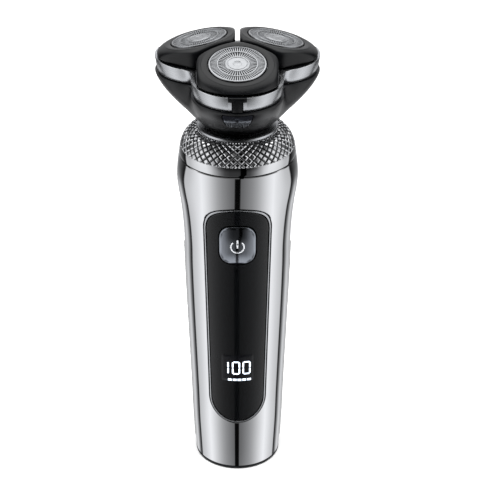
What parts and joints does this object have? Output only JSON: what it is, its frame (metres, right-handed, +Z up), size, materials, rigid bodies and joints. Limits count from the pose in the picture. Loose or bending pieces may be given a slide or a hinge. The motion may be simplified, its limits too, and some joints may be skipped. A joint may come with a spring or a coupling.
{
  "type": "electric shaver",
  "caption": "Cordless rotary electric shaver with a tapered chrome handle, a gloss black control panel and a lift-off head of round tilting cutters.",
  "frame": {"origin": "centre of the flat base of the handle", "axes": "+Z up along the handle, -Y to the front with the control panel, +X to the right seen from the front"},
  "size_m": [0.0588, 0.0574, 0.1743],
  "materials": {
    "chrome": "mirror polished plating",
    "satin_chrome": "satin plating",
    "gloss_black": "high gloss",
    "dark_chrome": "dark polished plating",
    "black_plastic": "fine matte texture",
    "rubber": "soft touch",
    "white_plastic": "moulded, satin",
    "steel": "plain bright steel",
    "cutter_steel": "finely ground, satin",
    "circuit_board": "solder mask",
    "battery": "printed sleeve over a metal can",
    "brass": "plain"
  },
  "bodies": {
    "handle": {"front_shell": "chrome", "rear_shell": "black_plastic", "rear_grip": "rubber", "shell_screw": "steel", "base_cap": "black_plastic", "charging_socket": "black_plastic", "contact_pin_left": "brass", "contact_pin_right": "brass", "base_screw_left": "steel", "base_screw_right": "steel", "panel_bezel": "satin_chrome", "front_panel": "gloss_black", "power_switch": "black_plastic", "display_module": "white_plastic", "circuit_board": "circuit_board", "board_screw_upper": "steel", "board_screw_lower": "steel", "battery_cell": "battery", "chassis": "black_plastic", "motor_can": "steel", "motor_endcap": "white_plastic", "motor_plate": "steel", "motor_screw_left": "steel", "motor_screw_right": "steel", "shoulder_collar": "chrome", "neck_ring": "satin_chrome", "neck_frame": "black_plastic", "neck_seal": "rubber"},
    "power_button": {"power_button": "dark_chrome", "switch_plunger": "white_plastic"},
    "drive": {"motor_rotor": "brass", "drive_coupling": "white_plastic"},
    "head": {"head_base": "gloss_black", "drive_plate": "white_plastic", "gear_cover": "white_plastic", "cover_screw_rear": "steel", "cover_screw_left": "steel", "cover_screw_right": "steel", "hinge_pin": "steel"},
    "release": {"release_button": "dark_chrome"},
    "central_gear": {"central_gear": "white_plastic"},
    "drive_gear_front": {"drive_gear_front": "white_plastic"},
    "drive_gear_right": {"drive_gear_right": "white_plastic"},
    "drive_gear_left": {"drive_gear_left": "white_plastic"},
    "head_lid": {"head_frame": "gloss_black", "trim_band_rear": "satin_chrome", "trim_band_left": "satin_chrome", "trim_band_right": "satin_chrome"},
    "pod_front": {"cutter_pod_front": "gloss_black", "cutter_guard_front": "cutter_steel", "cutter_retainer_front": "white_plastic"},
    "cutter_front": {"inner_cutter_front": "cutter_steel"},
    "pod_right": {"cutter_pod_right": "gloss_black", "cutter_guard_right": "cutter_steel", "cutter_retainer_right": "white_plastic"},
    "cutter_right": {"inner_cutter_right": "cutter_steel"},
    "pod_left": {"cutter_pod_left": "gloss_black", "cutter_guard_left": "cutter_steel", "cutter_retainer_left": "white_plastic"},
    "cutter_left": {"inner_cutter_left": "cutter_steel"}
  },
  "joints": [
    {"name": "power_press", "type": "slide", "parent": "handle", "child": "power_button", "axis": [0, 1, 0], "range_m": [0, 0.0008], "stiffness_N_per_m": 1500},
    {"name": "motor_spin", "type": "hinge", "parent": "handle", "child": "drive", "pos_m": [0, 0, 0.1], "axis": [0, 0, 1], "continuous": true},
    {"name": "head_lift", "type": "slide", "parent": "handle", "child": "head", "axis": [0, 0, 1], "range_m": [0, 0.012]},
    {"name": "release_press", "type": "slide", "parent": "head", "child": "release", "axis": [0, 0.7071, 0.7071], "range_m": [0, 0.0004], "stiffness_N_per_m": 1500},
    {"name": "central_gear_spin", "type": "hinge", "parent": "head", "child": "central_gear", "pos_m": [0, 0, 0.156], "axis": [0, 0, 1], "continuous": true},
    {"name": "drive_gear_front_spin", "type": "hinge", "parent": "head", "child": "drive_gear_front", "pos_m": [0, -0.0145, 0.156], "axis": [0, 0, 1], "continuous": true},
    {"name": "drive_gear_right_spin", "type": "hinge", "parent": "head", "child": "drive_gear_right", "pos_m": [0.01256, 0.00725, 0.156], "axis": [0, 0, 1], "continuous": true},
    {"name": "drive_gear_left_spin", "type": "hinge", "parent": "head", "child": "drive_gear_left", "pos_m": [-0.01256, 0.00725, 0.156], "axis": [0, 0, 1], "continuous": true},
    {"name": "head_open", "type": "hinge", "parent": "head", "child": "head_lid", "pos_m": [0, 0.0243, 0.1619], "axis": [-1, 0, 0], "range_deg": [0, 95]},
    {"name": "pod_front_tilt", "type": "hinge", "parent": "head_lid", "child": "pod_front", "pos_m": [0, -0.012, 0.1636], "axis": [-1, 0, 0], "range_deg": [0, 4], "stiffness_Nm_per_rad": 0.05},
    {"name": "inner_cutter_front_spin", "type": "hinge", "parent": "pod_front", "child": "cutter_front", "pos_m": [0, -0.0157, 0.1713], "axis": [0, -0.2334, 0.9724], "continuous": true},
    {"name": "pod_right_tilt", "type": "hinge", "parent": "head_lid", "child": "pod_right", "pos_m": [0.01039, 0.006, 0.1636], "axis": [0.5, -0.866, 0], "range_deg": [0, 4], "stiffness_Nm_per_rad": 0.05},
    {"name": "inner_cutter_right_spin", "type": "hinge", "parent": "pod_right", "child": "cutter_right", "pos_m": [0.0136, 0.00785, 0.1713], "axis": [0.2022, 0.1167, 0.9724], "continuous": true},
    {"name": "pod_left_tilt", "type": "hinge", "parent": "head_lid", "child": "pod_left", "pos_m": [-0.01039, 0.006, 0.1636], "axis": [0.5, 0.866, 0], "range_deg": [0, 4], "stiffness_Nm_per_rad": 0.05},
    {"name": "inner_cutter_left_spin", "type": "hinge", "parent": "pod_left", "child": "cutter_left", "pos_m": [-0.0136, 0.00785, 0.1713], "axis": [-0.2022, 0.1167, 0.9724], "continuous": true}
  ],
  "couplings": [
    {"joint": "central_gear_spin", "follows": "motor_spin", "ratio": 1},
    {"joint": "drive_gear_front_spin", "follows": "motor_spin", "ratio": -0.70588},
    {"joint": "drive_gear_right_spin", "follows": "motor_spin", "ratio": -0.70588},
    {"joint": "drive_gear_left_spin", "follows": "motor_spin", "ratio": -0.70588},
    {"joint": "inner_cutter_front_spin", "follows": "motor_spin", "ratio": -0.70588},
    {"joint": "inner_cutter_right_spin", "follows": "motor_spin", "ratio": -0.70588},
    {"joint": "inner_cutter_left_spin", "follows": "motor_spin", "ratio": -0.70588}
  ]
}
